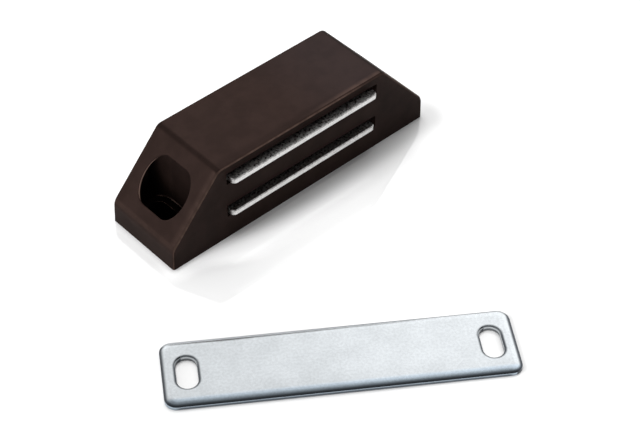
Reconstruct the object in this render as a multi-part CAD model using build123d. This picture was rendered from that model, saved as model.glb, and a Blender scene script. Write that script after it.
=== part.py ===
from build123d import *
import os

# Screw-on magnetic catch for a cupboard door: a moulded housing that holds a
# floating magnet pack, and the loose steel strike plate that goes on the door.
#
# Millimetres, +Z up. The origin is the centre of the housing's base. X runs along
# the housing and -Y is the side on which the pole plates stand out.

# Magnet pack: a flat ferrite block between two steel pole plates.
magnet_length = 25.0
magnet_depth = 8.5
magnet_thickness = 5.0
magnet_chamfer = 0.3
plate_overhang = 0.8  # past each end of the magnet
plate_inset = 0.25  # past the magnet's rear face
plate_thickness = 0.9
plate_corner = 0.7  # radius of the plates' corners, seen from above
plate_edge = 0.12  # broken edge round the plates' faces
plate_reach = 1.1  # how far the upper plate stands out past the base's front edge
pack_shift = 0.3  # the pack has settled this much towards -X in its room
lower_setback = 0.1  # the lower plate sits this much further back than the upper one
lower_shift = 0.1  # and this much further towards -X

# Room that the pack has in the housing.
pack_travel = 0.6  # the door pushes the pack in by this much
stop_gap = 0.1  # left at each end of that travel
gap_below = 0.2  # from the cavity's floor to the lower plate
gap_above = 0.45  # from the upper plate to the cavity's roof
gap_ends = 0.55  # past each end of the plates, were the pack central
mouth_drop = 0.6  # the front slots reach this far below each plate

# Housing walls.
base_thickness = 4.25  # under the cavity
roof_thickness = 1.4
front_wall = 1.7
rear_rim = 0.75  # behind the snap lugs
partition = 3.0  # between the cavity and each screw pocket

# Screw pockets, sunk straight down into the sloping ends.
pocket_width = 4.8  # along X
pocket_outer_wall = 1.85  # to the end of the base
pocket_inner_wall = 1.7  # to where the slope meets the top
pocket_side_wall = 2.35
pocket_floor = 2.9
pocket_rim_radius = 0.2
screw_slot_width = 2.8

# Outer form.
nose_height = 3.6  # upright foot of each end face
nose_draft = 0.12  # that face leans in this much over its height
side_draft = 0.1  # the long faces lean in this much over theirs
top_crease_radius = 1.3
nose_crease_radius = 2.2
edge_radius = 0.35

# Snap lugs that hold the pack in from behind.
lug_width = 3.0
lug_depth = 0.9
lug_grip = 0.35  # overlap behind the plates
lug_inset = 5.65  # lug centre to the cavity's end
lug_land = 0.25  # flat left at the lug's crest
lug_root = 0.2  # how far it runs on into the wall that carries it

# Strike plate, stamped from steel strip.
strike_length = 46.0
strike_width = 10.8
strike_thickness = 0.8
strike_corner = 1.6
strike_slot_width = 2.8
strike_slot_length = 5.25
strike_slot_inset = 3.22  # middle of each slot to the plate's end
roll_width = 1.1  # rounded-over band that stamping leaves along the upper edges
roll_depth = 0.35
slot_roll_width = 0.5
slot_roll_depth = 0.2

# Where the strike plate lies beside the housing, on the same surface.
strike_ahead = 26.48  # its centre, from the base's front edge
strike_aside = 5.9  # its centre, from the base's end at -X
strike_angle = -34.34

# Heights of the stack.
plate_low_z = base_thickness + gap_below
magnet_z = plate_low_z + plate_thickness
plate_high_z = magnet_z + magnet_thickness
cavity_top = plate_high_z + plate_thickness + gap_above
housing_height = cavity_top + roof_thickness

# Plan sizes that follow from the pack and its room.
plate_length = magnet_length + 2 * plate_overhang
plate_depth = plate_reach + front_wall + stop_gap + magnet_depth + plate_inset
cavity_length = plate_length + 2 * gap_ends
pocket_pitch = cavity_length + 2 * partition + pocket_width
housing_length = pocket_pitch + pocket_width + 2 * pocket_outer_wall
slope_run = pocket_outer_wall + pocket_width + pocket_inner_wall
lug_room = lower_setback + pack_travel + stop_gap
housing_width = plate_depth - plate_reach + lug_room + lug_depth + rear_rim
pocket_length = housing_width - 2 * pocket_side_wall
screw_slot_length = pocket_length - pocket_width + screw_slot_width

# Places along Y, from the front to the rear.
base_front = -housing_width / 2
plate_front = base_front - plate_reach
cavity_front = base_front + front_wall
magnet_front = cavity_front + stop_gap
lug_face = plate_front + plate_depth + lug_room


def outer_block():
    """The outside: what its front view and its end view have in common."""
    foot = housing_length / 2
    brow = foot - slope_run
    front_view = Plane.XZ * Polyline(
        (-foot, 0),
        (foot, 0),
        (foot - nose_draft, nose_height),
        (brow, housing_height),
        (-brow, housing_height),
        (-foot + nose_draft, nose_height),
        close=True,
    )
    half = housing_width / 2
    end_view = Plane.YZ * Polyline(
        (-half, 0),
        (half, 0),
        (half - side_draft, housing_height),
        (-half + side_draft, housing_height),
        close=True,
    )
    block = extrude(make_face(front_view), amount=housing_width, both=True)
    block &= extrude(make_face(end_view), amount=housing_length, both=True)

    cross_edges = block.edges().filter_by(Axis.Y).group_by(Axis.Z)
    block = fillet(cross_edges[-1], radius=top_crease_radius)
    cross_edges = block.edges().filter_by(Axis.Y)
    nose_edges = [e for e in cross_edges if abs(e.center().Z - nose_height) < 0.01]
    block = fillet(nose_edges, radius=nose_crease_radius)
    return fillet(side_edges(block), radius=edge_radius)


def side_edges(block):
    """The line of edges round each long face, apart from its foot."""
    reach = housing_width / 2 - side_draft
    return [
        e
        for e in block.edges()
        if abs(e.center().Y) > reach - 0.01 and e.center().Z > 0.01
    ]


def upright_slot(length, width, bottom, top):
    """An upright cutter with round ends, long along Y."""
    return Pos(0, 0, bottom) * extrude(SlotOverall(length, width, rotation=90), amount=top - bottom)


def screw_pocket():
    """A pocket for the screw's head, with a slotted hole in its floor."""
    pocket = upright_slot(pocket_length, pocket_width, pocket_floor, housing_height)
    return pocket + upright_slot(screw_slot_length, screw_slot_width, -1, pocket_floor + 1)


def snap_lug(gap):
    """A wedge that stands on Z = 0: it bridges gap and overlaps a plate behind its rear edge."""
    crest = gap + lug_grip
    wedge = Plane.YZ * Polyline(
        (lug_face, -lug_root),
        (lug_face, crest),
        (lug_face + lug_land, crest),
        (lug_face + lug_depth, 0),
        (lug_face + lug_depth, -lug_root),
        close=True,
    )
    return extrude(make_face(wedge), amount=lug_width / 2, both=True)


def magnet_room():
    """What is hollowed out for the pack: a cavity open to the rear, and two slots through the front wall."""
    depth = housing_width - front_wall
    cavity = Pos(0, cavity_front, base_thickness) * Box(
        cavity_length, depth, cavity_top - base_thickness, align=(Align.CENTER, Align.MIN, Align.MIN)
    )
    mouth = Box(
        cavity_length,
        2 * front_wall,
        mouth_drop + plate_thickness + gap_above,
        align=(Align.CENTER, Align.CENTER, Align.MIN),
    )
    for plate_z in (plate_low_z, plate_high_z):
        cavity += Pos(0, base_front + front_wall / 2, plate_z - mouth_drop) * mouth
    return cavity


def housing():
    """The moulded body, with its pockets, its cavity and the snap lugs inside."""
    block = outer_block()
    pockets = [Pos(side * pocket_pitch / 2, 0, 0) * screw_pocket() for side in (-1, 1)]
    body = block - pockets
    openings = new_edges(block, *pockets, combined=body).filter_by(Axis.Z, reverse=True)
    rims = [e for e in openings if e.center().Z > pocket_floor + pocket_rim_radius]
    body = fillet(rims, radius=pocket_rim_radius)

    body -= magnet_room()
    for side in (-1, 1):
        lug_x = side * (cavity_length / 2 - lug_inset)
        body += Pos(lug_x, 0, base_thickness) * snap_lug(gap_below)
        body += Pos(lug_x, 0, cavity_top) * mirror(snap_lug(gap_above), about=Plane.XY)
    return body


def pole_plate(bottom, setback, shift):
    """A steel plate that carries the magnet's pull to the door."""
    blank = RectangleRounded(plate_length, plate_depth, plate_corner)
    plate = extrude(blank, amount=plate_thickness)
    rims = plate.edges().group_by(Axis.Z)
    plate = chamfer(rims[0] + rims[-1], length=plate_edge)
    return Pos(-shift, plate_front + plate_depth / 2 + setback, bottom) * plate


def magnet():
    """The ferrite block, magnetised through its thickness."""
    block = Box(
        magnet_length, magnet_depth, magnet_thickness, align=(Align.CENTER, Align.MIN, Align.MIN)
    )
    block = chamfer(block.edges().filter_by(Axis.Z), length=magnet_chamfer)
    return Pos(-pack_shift, magnet_front, magnet_z) * block


def rolled_edge(outline, width, depth, outward):
    """What a punch takes off the upper edge of an outline in the strike plate.

    The arc leaves the upper face width away from the outline, tangent to it, and
    meets the outline's wall at depth. outward is 1 round the blank, -1 round a hole.
    """
    path = Pos(0, 0, strike_thickness) * outline.wire()
    open_side = (path % 0).cross(Vector(0, 0, 1)) * outward
    section = Plane(path @ 0, x_dir=open_side, z_dir=open_side.cross(Vector(0, 0, 1)))
    arc = TangentArc((-width, 0), (0, -depth), tangent=(1, 0))
    rest = Polyline((0, -depth), (depth, -depth), (depth, depth), (-width, depth), (-width, 0))
    return sweep(section * make_face([arc, rest]), path=path)


def strike_plate():
    """A flat steel plate with a slotted hole across each end."""
    blank = RectangleRounded(strike_length, strike_width, strike_corner)
    plate = extrude(blank, amount=strike_thickness)
    plate -= rolled_edge(blank, roll_width, roll_depth, outward=1)
    for side in (-1, 1):
        hole = SlotOverall(strike_slot_length, strike_slot_width, rotation=90)
        hole = Pos(side * (strike_length / 2 - strike_slot_inset), 0, 0) * hole
        plate -= extrude(hole, amount=strike_thickness)
        plate -= rolled_edge(hole, slot_roll_width, slot_roll_depth, outward=-1)
    strike_x = strike_aside - housing_length / 2
    strike_y = base_front - strike_ahead
    return Pos(strike_x, strike_y, 0) * Rot(0, 0, strike_angle) * plate


pieces = {
    "housing": housing(),
    "magnet": magnet(),
    "upper_pole_plate": pole_plate(plate_high_z, setback=0, shift=pack_shift),
    "lower_pole_plate": pole_plate(plate_low_z, lower_setback, shift=pack_shift + lower_shift),
    "strike_plate": strike_plate(),
}

os.makedirs("parts", exist_ok=True)
for name, piece in pieces.items():
    export_step(piece, f"parts/{name}.step")
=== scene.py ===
import math
from types import SimpleNamespace

import bpy
from mathutils import Matrix, Vector

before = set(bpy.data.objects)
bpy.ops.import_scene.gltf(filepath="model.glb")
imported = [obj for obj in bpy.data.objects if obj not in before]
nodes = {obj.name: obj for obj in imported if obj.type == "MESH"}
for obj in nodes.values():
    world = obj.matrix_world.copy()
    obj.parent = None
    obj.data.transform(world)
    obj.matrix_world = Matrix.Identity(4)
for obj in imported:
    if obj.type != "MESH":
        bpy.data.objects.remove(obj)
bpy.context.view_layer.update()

MM = 0.001

# The housing, in millimetres from the middle of its base.
HOUSING_HALF_LENGTH = 23.5
HOUSING_HALF_WIDTH = 6.5
HOUSING_HEIGHT = 13.1
TOP_HALF_LENGTH = 15.15
SLOPE_OUT_X, SLOPE_OUT_Z = 0.756, 0.655  # the way that a sloping end faces
POCKET_MIDDLE = 19.25

# The strike plate, in millimetres from its own middle, and how it lies beside the housing.
STRIKE_HALF_LENGTH = 23.0
STRIKE_HALF_WIDTH = 5.4
STRIKE_SLOT_MIDDLE = 19.78
STRIKE_SLOT_STRAIGHT = 1.225  # half of the straight part of a slot
STRIKE_TURN = math.radians(-34.34)
STRIKE_SHIFT = (-4.072 * MM, 37.159 * MM, 0)  # takes its middle to the origin, once it is turned

BLACK = (0.0, 0.0, 0.0)
WHITE = (1.0, 1.0, 1.0)


# ------------------------------------------------------------- wiring of nodes

class Wiring:
    """A node tree, with a short word for each thing that the finishes do with it."""

    def __init__(self, tree):
        self.tree = tree

    def plug(self, node, label, value):
        """Link value to an input if it comes from a node, and otherwise set it there."""
        socket = node.inputs[label]
        if isinstance(value, bpy.types.NodeSocket):
            self.tree.links.new(value, socket)
        elif socket.type == "RGBA":
            socket.default_value = (*value, 1)
        else:
            socket.default_value = value

    def plug_all(self, node, inputs):
        for label, value in inputs.items():
            self.plug(node, label.replace("_", " "), value)
        return node

    def add(self, kind, **inputs):
        """A shader node, with the inputs that are named set or linked."""
        return self.plug_all(self.tree.nodes.new("ShaderNode" + kind), inputs)

    def use(self, group, **inputs):
        """What a shared effect puts out, with its inputs set or linked."""
        node = self.add("Group")
        node.node_tree = group
        return self.plug_all(node, inputs).outputs[0]

    def maths(self, operation, *values, clamp=False):
        node = self.add("Math")
        node.operation = operation
        node.use_clamp = clamp
        for i, value in enumerate(values):
            self.plug(node, i, value)
        return node.outputs[0]

    def vector_maths(self, operation, a, b, output="Vector"):
        node = self.add("VectorMath")
        node.operation = operation
        self.plug(node, 0, a)
        self.plug(node, 1, b)
        return node.outputs[output]

    def plus(self, first, *others):
        for other in others:
            first = self.maths("ADD", first, other)
        return first

    def minus(self, a, b, clamp=False):
        return self.maths("SUBTRACT", a, b, clamp=clamp)

    def times(self, first, *others):
        for other in others:
            first = self.maths("MULTIPLY", first, other)
        return first

    def largest(self, first, *others):
        for other in others:
            first = self.maths("MAXIMUM", first, other)
        return first

    def magnitude(self, value):
        return self.maths("ABSOLUTE", value)

    def hypotenuse(self, a, b):
        return self.maths("SQRT", self.plus(self.times(a, a), self.times(b, b)))

    def ramp(self, value, low, high, at_low=0.0, at_high=1.0):
        """A smooth step from at_low, where value is low, to at_high, where it is high."""
        node = self.add("MapRange", Value=value, From_Min=low, From_Max=high,
                        To_Min=at_low, To_Max=at_high)
        node.interpolation_type = "SMOOTHSTEP"
        return node.outputs["Result"]

    def fade(self, value, whole, gone):
        """1 where value is whole, falling to 0 where it is gone."""
        return self.ramp(value, whole, gone, 1.0, 0.0)

    def band(self, value, start, whole, fading, gone):
        """0 up to start, 1 from whole to fading, and 0 again from gone on."""
        return self.times(self.ramp(value, start, whole), self.fade(value, fading, gone))

    def blend(self, amount, under, over, mode="MIX"):
        """The colour under, with an amount of the colour over laid on it."""
        node = self.add("Mix")
        node.data_type = "RGBA"
        node.blend_type = mode
        # by number, because the inputs for numbers, vectors and colours share their names
        self.plug(node, 0, amount)
        self.plug(node, 6, under)
        self.plug(node, 7, over)
        return node.outputs[2]

    def tint(self, colour, value):
        """A colour made lighter or darker by value."""
        return self.add("HueSaturation", Color=colour, Value=value).outputs["Color"]

    def place(self):
        """Where the surface is, in metres, with the catch at rest."""
        return self.add("TexCoord").outputs["Object"]

    def split(self, vector):
        parts = self.add("SeparateXYZ", Vector=vector).outputs
        return [parts[axis] for axis in "XYZ"]

    def split_mm(self, place):
        """The X, Y and Z of a place, turned from metres into millimetres."""
        return self.split(self.vector_maths("DIVIDE", place, (MM, MM, MM)))

    def facing(self):
        """The X, Y and Z of the way the surface faces."""
        return self.split(self.add("NewGeometry").outputs["Normal"])


def new_material(name, colour, roughness, metallic=0.0, specular=0.5):
    """A material with a finish's plain values, some of which its wiring then varies."""
    mat = bpy.data.materials.new(name)
    mat.use_nodes = True
    wires = Wiring(mat.node_tree)
    shader = mat.node_tree.nodes["Principled BSDF"]
    wires.plug_all(shader, {"Base Color": colour, "Roughness": roughness,
                            "Metallic": metallic, "Specular IOR Level": specular})
    return mat, wires, shader


# -------------------------------------------------------------- shared effects

def new_group(name, inputs, output):
    """An empty shader node group, which takes a Vector and some numbers and puts out one value."""
    group = bpy.data.node_groups.new(name, "ShaderNodeTree")
    add_socket = group.interface.new_socket
    add_socket("Vector", in_out="INPUT", socket_type="NodeSocketVector")
    for label, value in inputs.items():
        add_socket(label, in_out="INPUT", socket_type="NodeSocketFloat").default_value = value
    add_socket(output, in_out="OUTPUT", socket_type="NodeSocketFloat")
    return group, group.nodes.new("NodeGroupInput").outputs, group.nodes.new("NodeGroupOutput")


def cloudy_patches_group():
    """Soft patches: a value that wanders between Low and High."""
    group, given, end = new_group(
        "cloudy patches", {"Patches per Metre": 300.0, "Low": 0.9, "High": 1.1}, "Value")
    wires = Wiring(group)
    noise = wires.add("TexNoise", Vector=given["Vector"], Scale=given["Patches per Metre"],
                      Detail=3.0)
    value = wires.ramp(noise.outputs["Fac"], 0.3, 0.7, given["Low"], given["High"])
    wires.plug(end, "Value", value)
    return group


def surface_grain_group():
    """The height of a fine grain, drawn out along X by Stretch."""
    group, given, end = new_group(
        "surface grain", {"Grains per Metre": 4000.0, "Stretch": 1.0}, "Height")
    wires = Wiring(group)
    squeeze = wires.add("CombineXYZ", X=wires.maths("DIVIDE", 1.0, given["Stretch"]), Y=1.0, Z=1.0)
    drawn = wires.vector_maths("MULTIPLY", given["Vector"], squeeze.outputs["Vector"])
    noise = wires.add("TexNoise", Vector=drawn, Scale=given["Grains per Metre"], Detail=2.0)
    wires.plug(end, "Height", noise.outputs["Fac"])
    return group


cloudy_patches = cloudy_patches_group()
surface_grain = surface_grain_group()


def patches(wires, place, per_metre, low, high):
    """A value that wanders between low and high, in patches of about 1 / per_metre."""
    return wires.use(cloudy_patches, Vector=place, Patches_per_Metre=per_metre, Low=low, High=high)


def roughen(wires, shader, place, per_metre, strength, stretch=1.0, depth=0.05):
    """Give a finish its fine grain. depth is in millimetres."""
    height = wires.use(surface_grain, Vector=place, Grains_per_Metre=per_metre, Stretch=stretch)
    bump = wires.add("Bump", Height=height, Strength=strength, Distance=depth * MM)
    wires.plug(shader, "Normal", bump.outputs["Normal"])


# --------------------------------------------------------------- brown plastic
#
# In the finishes' ramps, places are in millimetres. The way a surface faces is a part of 1,
# where 1 is square to that direction.

PLASTIC = (0.0325, 0.0195, 0.0165)
GREYED_PLASTIC = (0.068, 0.067, 0.08)
# paler, for the bands beside the edges: wear and painted highlight
RUBBED_AND_LIT_PLASTIC = (0.088, 0.055, 0.045)
# paler still, for the rounded edges and corners: wear and painted highlight
WORN_AND_LIT_PLASTIC = (0.16, 0.103, 0.083)
LIT_PLASTIC = (0.3, 0.2, 0.165)  # where a sharp line catches the light
PLASTIC_ROUGHNESS = 0.45
POCKET_DULLNESS = 0.55  # added to the roughness inside the pockets

TOP_GREYING = 0.1
# painted shade in the crease, at the front of the top, at the foot of each end and at the right end
# of the front
CREASE_SHADE, BROW_SHADE, NOSE_SHADE, FRONT_END_SHADE = 0.42, 0.2, 0.25, 0.2
# paler bands: wear and painted highlight, and round the nose a painted highlight alone
SLOPE_RUB_AND_LIGHT, TOP_RUB_AND_LIGHT, NOSE_HIGHLIGHT, FRONT_RUB_AND_LIGHT = 0.5, 0.85, 0.3, 0.2
# the corners at the ends of the edges: wear and painted highlight
CORNER_WEAR_AND_LIGHT = 0.5


def survey_housing(wires, place):
    """What the housing's shade and wear go by: places in millimetres, and ways of facing."""
    at = SimpleNamespace()
    at.x, at.y, at.z = wires.split_mm(place)
    at.out_x = wires.magnitude(at.x)
    at.off_pocket = wires.magnitude(wires.minus(at.out_x, POCKET_MIDDLE))
    at.facing_x, facing_y, at.up = wires.facing()
    at.front = wires.times(facing_y, -1.0)
    at.end_on = wires.magnitude(at.facing_x)
    at.on_top = wires.ramp(at.up, 0.97, 0.99)
    at.on_front = wires.ramp(at.front, 0.97, 0.995)
    return at


def pocket_shade(wires, at):
    """Painted shade in the screw pockets, most on the floor and at the far end."""
    on_wall = wires.times(wires.fade(at.off_pocket, 2.38, 2.46), wires.fade(at.up, 0.05, 0.4))
    on_floor = wires.times(wires.fade(at.off_pocket, 2.5, 2.7), wires.fade(at.z, 3.0, 3.2))
    inside = wires.times(wires.largest(on_wall, on_floor),
                         wires.fade(wires.magnitude(at.y), 4.3, 4.6))
    floor = wires.ramp(at.z, 3.0, 2.9, 0.0, 0.95)
    far_end = wires.ramp(at.y, 2.5, 4.2, 0.0, 0.97)
    # the walls' painted shade, a little lighter where they round off towards the far end
    round_end = wires.times(wires.ramp(at.y, 1.0, 2.2), wires.ramp(at.z, 9.5, 5.5, 0.1, 0.5))
    wall = wires.minus(wires.ramp(at.z, 3.5, 11.0, 0.66, 0.5), round_end)
    return wires.times(inside, wires.largest(wall, floor, far_end))


def outer_shade(wires, at):
    """Painted shade: the darker stretches of the outside."""
    # the line where the top turns down into each slope
    crease = wires.times(wires.band(at.out_x, 14.5, 14.95, 15.2, 15.6),
                         wires.ramp(at.up, 0.3, 0.6), CREASE_SHADE)
    # the front of the top, all but its right end
    brow = wires.times(at.on_top, wires.ramp(at.y, -4.6, -5.8), wires.fade(at.x, 2.0, 10.0),
                       BROW_SHADE)
    # the foot of each end
    nose = wires.times(wires.ramp(at.z, 3.5, 1.8), wires.ramp(at.out_x, 22.0, 23.0), NOSE_SHADE)
    # the right end of the front
    front_end = wires.times(at.on_front, wires.ramp(at.x, 13.5, 16.0, 0.0, FRONT_END_SHADE))
    return wires.largest(crease, brow, nose, front_end)


def rubbed_and_lit_bands(wires, at):
    """Paler bands beside the edges: wear and painted highlight on the slopes, on the top and on the
    front, and a painted highlight round the nose.
    """
    slope = wires.times(wires.band(at.end_on, 0.6, 0.72, 0.8, 0.88),
                        wires.ramp(at.y, -5.1, -6.2), SLOPE_RUB_AND_LIGHT)
    top = wires.times(at.on_top, wires.ramp(at.y, -5.3, -6.0),
                      wires.ramp(at.x, -2.0, 12.0, 0.0, TOP_RUB_AND_LIGHT))
    nose = wires.times(wires.band(at.end_on, 0.78, 0.86, 0.93, 0.985),
                       wires.ramp(at.out_x, 21.0, 22.0), NOSE_HIGHLIGHT)
    past_slope = wires.plus(wires.times(wires.minus(at.out_x, TOP_HALF_LENGTH), SLOPE_OUT_X),
                            wires.times(wires.minus(at.z, HOUSING_HEIGHT), SLOPE_OUT_Z))
    front = wires.times(at.on_front, wires.ramp(past_slope, -2.2, -0.2, 0.0, FRONT_RUB_AND_LIGHT))
    return wires.largest(slope, top, nose, front)


def brown_plastic():
    """Dark brown moulded plastic: paler along its front edges from wear and painted highlight, with
    painted shade in its pockets.
    """
    mat, wires, shader = new_material("brown_plastic", PLASTIC, PLASTIC_ROUGHNESS, specular=0.02)
    place = wires.place()
    at = survey_housing(wires, place)

    colour = wires.tint(PLASTIC, patches(wires, place, 420.0, low=0.9, high=1.1))
    # the top turns a little greyer towards its right end
    greying = wires.times(at.on_top, wires.ramp(at.x, -2.0, 12.0, 0.0, TOP_GREYING))
    colour = wires.blend(greying, colour, GREYED_PLASTIC)

    # painted shade in the pockets and on darker stretches of the outside, laid on as black
    in_pocket = pocket_shade(wires, at)
    colour = wires.blend(wires.largest(outer_shade(wires, at), in_pocket), colour, BLACK)
    roughness = wires.plus(PLASTIC_ROUGHNESS, wires.times(in_pocket, POCKET_DULLNESS))
    wires.plug(shader, "Roughness", roughness)

    # paler bands beside the edges, from wear and painted highlight
    streaks = patches(wires, place, 900.0, low=0.5, high=1.0)
    colour = wires.blend(wires.times(rubbed_and_lit_bands(wires, at), streaks), colour, RUBBED_AND_LIT_PLASTIC)
    # the rounded edges and the corners at their ends, paler still from wear and painted highlight
    edge = wires.times(wires.band(at.front, 0.45, 0.85, 0.97, 0.999),
                       wires.ramp(at.up, 0.04, 0.25), wires.ramp(at.x, 6.0, 13.0, 1.0, 0.25))
    corner = wires.times(wires.band(at.front, 0.3, 0.6, 0.8, 0.95),
                         wires.band(at.end_on, 0.3, 0.6, 0.8, 0.95),
                         wires.ramp(at.y, -5.0, -6.0), CORNER_WEAR_AND_LIGHT)
    colour = wires.blend(wires.times(wires.largest(edge, corner), streaks), colour, WORN_AND_LIT_PLASTIC)

    # painted highlights on the far part of each pocket's rim, and on the line where a pocket's wall
    # meets its floor
    rim = wires.times(edge, wires.fade(at.off_pocket, 2.7, 2.9),
                      wires.band(at.y, -1.0, 0.5, 4.4, 4.6))
    foot = wires.times(in_pocket, wires.band(at.z, 2.8, 2.9, 3.1, 3.3),
                       wires.band(at.y, -1.0, 2.2, 3.2, 3.9), wires.ramp(at.facing_x, -0.2, -0.5))
    foot = wires.maths("MULTIPLY", foot, 2.0, clamp=True)
    colour = wires.blend(wires.largest(rim, foot), colour, LIT_PLASTIC)
    wires.plug(shader, "Base Color", colour)

    roughen(wires, shader, place, per_metre=3500.0, strength=0.12)
    return mat


# ----------------------------------------------------------------- magnet pack

FERRITE = (0.035, 0.035, 0.038)
POLE_ZINC = (0.56, 0.55, 0.54)
# painted shade for the plates' tops, and a painted highlight for their sheared fronts
SHADED_TOP_ZINC = (0.12, 0.118, 0.116)
LIT_FRONT_ZINC = (0.8, 0.79, 0.78)


def ferrite():
    """Sintered ferrite, dull and dark."""
    mat, wires, shader = new_material("ferrite", FERRITE, roughness=0.65, specular=0.3)
    roughen(wires, shader, wires.place(), per_metre=3000.0, strength=0.3)
    return mat


def pole_steel():
    """Zinc plated plates, grainy, with painted shade on their tops and a painted highlight on their
    sheared front edges.
    """
    mat, wires, shader = new_material("pole_steel", POLE_ZINC, roughness=0.25, metallic=1.0)
    place = wires.place()
    _, facing_y, up = wires.facing()
    colour = wires.tint(POLE_ZINC, patches(wires, place, 3000.0, low=0.6, high=1.25))
    # painted shade on the tops
    colour = wires.blend(wires.ramp(up, 0.8, 0.97, 0.0, 0.4), colour, SHADED_TOP_ZINC)
    # a painted highlight on the sheared fronts
    colour = wires.blend(wires.ramp(facing_y, -0.8, -0.97, 0.0, 0.55), colour, LIT_FRONT_ZINC)
    wires.plug(shader, "Base Color", colour)
    wires.plug(shader, "Roughness", patches(wires, place, 3000.0, low=0.24, high=0.42))
    roughen(wires, shader, place, per_metre=6500.0, strength=0.2, stretch=1.5, depth=0.06)
    return mat


# ---------------------------------------------------------------- strike plate

STRIKE_ZINC = (0.7, 0.735, 0.76)
BLUE_CAST = (0.9, 1.0, 1.1)
# painted shade for the plate's edges
EDGE_SHADE_ZINC = (0.045, 0.052, 0.062)


def strike_place(wires):
    """Where the surface is from the strike plate's middle, in metres, with X along the plate."""
    return wires.add("Mapping", Vector=wires.place(), Rotation=(0, 0, -STRIKE_TURN),
                     Location=STRIKE_SHIFT).outputs["Vector"]


def painted_edge_shade(wires, u, v, z, facing):
    """Painted shade at the plate's stamped edges, standing in for the dark they mirror. u runs
    along it and v across it.
    """
    facing_x, facing_y, up = facing
    # round the slots, by the distance from the straight line in the middle of each
    past_straight = wires.largest(wires.minus(wires.magnitude(v), STRIKE_SLOT_STRAIGHT), 0.0)
    off_line = wires.minus(wires.magnitude(u), STRIKE_SLOT_MIDDLE)
    ring = wires.times(wires.ramp(wires.hypotenuse(past_straight, off_line), 1.55, 1.85, 0.92, 0.0),
                       wires.ramp(up, 0.3, 0.6), wires.ramp(v, 0.8, 2.2, 1.0, 0.5))
    # where the plate's edge turns down, and along its far side
    rolled = wires.times(wires.band(up, 0.45, 0.75, 0.87, 0.965),
                         wires.ramp(v, 4.6, 5.2, 0.92, 0.0))
    far_side = wires.times(wires.band(up, 0.45, 0.75, 0.875, 0.925), wires.ramp(v, 4.6, 5.0),
                           wires.ramp(u, -20.0, 20.0, 0.35, 0.92))
    # the right end, which faces along the plate
    along_plate = wires.plus(wires.times(facing_x, math.cos(STRIKE_TURN)),
                             wires.times(facing_y, math.sin(STRIKE_TURN)))
    right_end = wires.ramp(along_plate, 0.26, 0.46, 0.0, 0.95)
    # the sheared wall below the rounded edge, brighter at its top and at the plate's ends
    sheared = wires.times(wires.ramp(up, 0.1, 0.3, 0.75, 0.0), wires.ramp(z, 0.3, 0.42, 1.0, 0.2),
                          wires.ramp(wires.magnitude(u), 21.0, 21.8, 1.0, 0.3))
    return wires.largest(ring, rolled, far_side, right_end, sheared)


def strike_steel():
    """Bright zinc over rolled strip, with faint lines along its length, painted shade at its
    stamped edges and painted gradients of light across it.
    """
    mat, wires, shader = new_material("strike_steel", STRIKE_ZINC, roughness=0.26, metallic=1.0)
    place = strike_place(wires)
    u, v, z = wires.split_mm(place)
    facing = wires.facing()

    # cloudy, with a little painted shade towards its front and its left end, and painted light
    # towards its right end
    value = wires.times(patches(wires, place, 300.0, low=0.95, high=1.03),
                        patches(wires, place, 2600.0, low=0.95, high=1.05),
                        wires.ramp(v, -4.4, -1.5, 0.94, 1.0),
                        wires.ramp(u, -20.0, 20.0, 0.94, 1.06))
    colour = wires.tint(STRIKE_ZINC, value)
    # bluer along its front edge
    colour = wires.blend(wires.ramp(v, -3.9, -4.6), colour, BLUE_CAST, mode="MULTIPLY")
    # painted shade at the edges
    colour = wires.blend(painted_edge_shade(wires, u, v, z, facing), colour, EDGE_SHADE_ZINC)
    wires.plug(shader, "Base Color", colour)

    # the plating is dull where the far side turns down
    dullness = wires.times(wires.ramp(v, 4.5, 4.9), wires.ramp(facing[2], 0.98, 0.93), 0.6)
    wires.plug(shader, "Metallic", wires.minus(1.0, dullness))
    roughen(wires, shader, place, per_metre=2600.0, strength=0.12, stretch=9.0)
    return mat


steel = pole_steel()
finishes = {
    "housing": brown_plastic(),
    "magnet": ferrite(),
    "upper_pole_plate": steel,
    "lower_pole_plate": steel,
    "strike_plate": strike_steel(),
}
for piece, finish in finishes.items():
    nodes[piece].data.materials.clear()
    nodes[piece].data.materials.append(finish)


# ----------------------------------------------------------------------- floor

FLOOR_SIZE = 6.0
FLOOR_WHITE = (0.9, 0.9, 0.9)
# the colour of the painted shadow under the housing and of the painted shade beside it
FLOOR_DARK = (0.005, 0.005, 0.005)


def beyond(wires, out_x, half_x, out_y, half_y):
    """How far past the edge of a rectangle a place is that lies out_x, out_y from its middle."""
    past_x = wires.largest(wires.minus(out_x, half_x), 0.0)
    past_y = wires.largest(wires.minus(out_y, half_y), 0.0)
    return wires.hypotenuse(past_x, past_y)


def seen_ray(wires):
    """1 for the rays that show a surface: to the camera, in a gloss, or through glass."""
    path = wires.add("LightPath").outputs
    return wires.largest(path["Is Camera Ray"], path["Is Glossy Ray"], path["Is Transmission Ray"])


def glow_behind(wires, x, away, not_under):
    """The floor's glow behind the housing and past its ends, by how far away it is."""
    further = wires.ramp(away, 0.8, 5.4, 0.0, 0.22)
    close = wires.times(wires.ramp(away, 0.2, 1.4, 0.07, 0.0), not_under)
    past_left_end = wires.times(wires.ramp(x, -22.5, -24.0), wires.ramp(away, 0.0, 5.0, 0.12, 0.0))
    return wires.plus(further, close, past_left_end)


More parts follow.
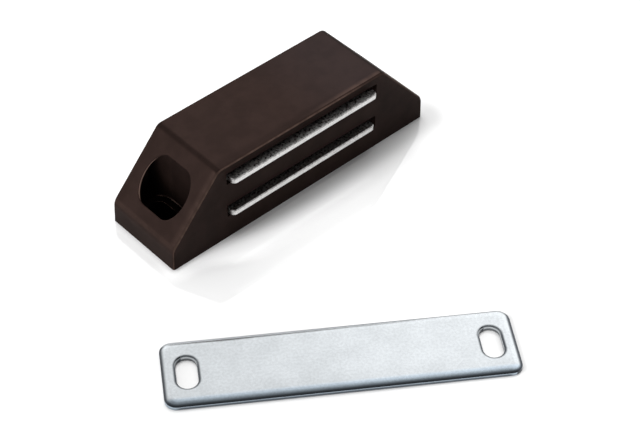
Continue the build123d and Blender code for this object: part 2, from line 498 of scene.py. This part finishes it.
def glow_ahead(wires, x, away):
    """The glow in front of the housing: even on the left, weaker and further out on the right."""
    past_left_end = wires.ramp(x, -22.0, -24.0, 0.0, 0.15)
    rise = wires.ramp(
        away, wires.ramp(x, -16.0, 2.0, -0.3, 1.6), wires.ramp(x, -22.0, -4.0, 0.8, 4.4),
        0.0, wires.minus(wires.ramp(x, -14.0, 18.0, 0.38, 0.12), past_left_end))
    drop = wires.ramp(
        away, wires.ramp(x, -22.0, -12.0, 0.5, 4.2), wires.ramp(x, -22.0, -12.0, 3.0, 7.0),
        0.0, wires.minus(wires.ramp(x, -22.0, 8.0, 0.3, 0.0), past_left_end))
    right_end = wires.times(wires.ramp(x, 16.0, 21.0), wires.ramp(away, 0.8, 5.4, 0.0, 0.1))
    close = wires.times(wires.fade(away, 0.2, 1.6), wires.ramp(x, -6.0, 16.0, 0.06, 0.0))
    return wires.plus(wires.minus(rise, drop), right_end, close)


def white_floor():
    """A polished white sheet, which keeps the soft shadow and a faint mirror image.

    A weak glow of its own, painted light, keeps it white around them and shapes the shadow.
    """
    bpy.ops.mesh.primitive_plane_add(size=FLOOR_SIZE, location=(0, 0, 0))
    floor = bpy.context.object
    floor.name = "floor"
    mat, wires, shader = new_material("floor_white", FLOOR_WHITE, roughness=0.03)
    wires.plug(shader, "IOR", 2.0)
    wires.plug(shader, "Emission Color", WHITE)
    x, y, _ = wires.split_mm(wires.place())
    out_x, out_y = wires.magnitude(x), wires.magnitude(y)

    under = wires.times(
        wires.fade(out_x, HOUSING_HALF_LENGTH - 0.5, HOUSING_HALF_LENGTH - 0.1),
        wires.fade(out_y, HOUSING_HALF_WIDTH - 0.6, HOUSING_HALF_WIDTH - 0.1))
    not_under = wires.minus(1.0, under)
    away = beyond(wires, out_x, HOUSING_HALF_LENGTH, out_y, HOUSING_HALF_WIDTH)
    in_front = wires.ramp(y, -3.0, -6.5)
    glow = wires.plus(
        wires.times(glow_behind(wires, x, away, not_under), wires.minus(1.0, in_front)),
        wires.times(glow_ahead(wires, x, away), in_front, not_under))

    # painted shade: the glow is weaker close round the strike plate, most of all past its right end
    along, across, _ = wires.split_mm(strike_place(wires))
    out_along, out_across = wires.magnitude(along), wires.magnitude(across)
    off_plate = beyond(wires, out_along, STRIKE_HALF_LENGTH, out_across, STRIKE_HALF_WIDTH)
    off_end = beyond(wires, out_along, STRIKE_HALF_LENGTH, out_across, STRIKE_HALF_WIDTH - 1.2)
    end_shade = wires.times(wires.ramp(along, 20.0, 21.5), wires.fade(off_end, 0.0, 1.3), 0.12)
    strike_shade = wires.plus(wires.ramp(off_plate, 0.0, 1.2, 0.14, 0.0), end_shade)
    glow = wires.minus(glow, strike_shade, clamp=True)
    wires.plug(shader, "Emission Strength", wires.times(seen_ray(wires), glow))

    # painted shadow under the housing, and a little painted shade before its right end
    # and past the strike plate's right end
    right_end_shade = wires.times(in_front, wires.ramp(x, 4.0, 20.0),
                                  wires.ramp(away, 1.5, 6.5, 0.2, 0.0))
    dark = wires.largest(under, right_end_shade, end_shade)
    wires.plug(shader, "Base Color", wires.blend(dark, FLOOR_WHITE, FLOOR_DARK))
    wires.plug(shader, "Metallic", under)
    floor.data.materials.append(mat)


# ------------------------------------------------------------ light and camera

LAMP_SIZE = 0.5
LAMP_REACH = 0.9
LAMP_TARGET = Vector((0, -12 * MM, 0))

TENT_GLOW = 0.04
TENT_SIDES = (  # a side's turn and lean, how near to them its glow starts and peaks, and its peak
    (20, 25, 0.35, 1.0, 1.25),
    (100, 22, 0.7, 0.95, 0.75),
    (160, 8, 0.7, 0.98, 1.1),
)

CAMERA_TURN, CAMERA_LEAN, CAMERA_ROLL = -133.664, 44.948, 1.386
CAMERA_TARGET = Vector((-2.2123, -12.3915, 0)) * MM
CAMERA_REACH = 248.998 * MM
CAMERA_LENS = 101.143


def direction(turn, lean):
    """The way that is turn degrees round from +X and lean degrees up."""
    turn, lean = math.radians(turn), math.radians(lean)
    level = math.cos(lean)
    return Vector((level * math.cos(turn), level * math.sin(turn), math.sin(lean)))


def soft_lamp(name, power, turn, lean):
    """A large square lamp that faces the catch, and that gloss doesn't mirror."""
    lamp = bpy.data.lights.new(name, "AREA")
    lamp.shape = "SQUARE"
    lamp.size = LAMP_SIZE
    lamp.energy = power
    stand = bpy.data.objects.new(name, lamp)
    bpy.context.scene.collection.objects.link(stand)
    out = direction(turn, lean)
    stand.location = LAMP_TARGET + out * LAMP_REACH
    stand.rotation_euler = out.to_track_quat("Z", "Y").to_euler()
    stand.visible_glossy = False


def light_tent():
    """A dim tent with three glowing sides: behind the catch to its right and left, and low down
    beyond its left end. The camera sees it white."""
    world = bpy.data.worlds.new("light_tent")
    world.use_nodes = True
    wires = Wiring(world.node_tree)
    background = world.node_tree.nodes["Background"]
    wires.plug(background, "Color", WHITE)
    ray = wires.add("TexCoord").outputs["Generated"]
    glow = TENT_GLOW
    for turn, lean, starts, peaks, peak in TENT_SIDES:
        nearness = wires.vector_maths("DOT_PRODUCT", ray, direction(turn, lean), output="Value")
        glow = wires.plus(glow, wires.ramp(nearness, starts, peaks, 0.0, peak))
    # what gloss mirrors besides: a pale room, dimmer overhead
    path = wires.add("LightPath").outputs
    height = wires.split(ray)[2]
    room = wires.times(path["Is Glossy Ray"], wires.ramp(height, 0.35, 0.85, 0.75, 0.25))
    wires.plug(background, "Strength", wires.largest(glow, room, path["Is Camera Ray"]))
    bpy.context.scene.world = world


def place_camera():
    """The camera, over the catch's front left corner and rolled a little."""
    back = direction(CAMERA_TURN, CAMERA_LEAN)
    level = Vector((0, 0, 1)).cross(back).normalized()
    steep = back.cross(level)
    roll = math.radians(CAMERA_ROLL)
    right = math.cos(roll) * level + math.sin(roll) * steep
    up = math.cos(roll) * steep - math.sin(roll) * level
    lens = bpy.data.cameras.new("camera")
    lens.sensor_width = 36
    lens.lens = CAMERA_LENS
    lens.clip_start = 0.01
    lens.clip_end = 20
    camera = bpy.data.objects.new("camera", lens)
    bpy.context.scene.collection.objects.link(camera)
    turned = Matrix((right, up, back)).transposed().to_4x4()
    camera.matrix_world = Matrix.Translation(CAMERA_TARGET + back * CAMERA_REACH) @ turned
    bpy.context.scene.camera = camera


white_floor()
soft_lamp("left_lamp", power=2.6, turn=155, lean=10)
soft_lamp("top_lamp", power=5.6, turn=95, lean=80)
light_tent()
place_camera()
bpy.context.scene.view_settings.view_transform = "Standard"
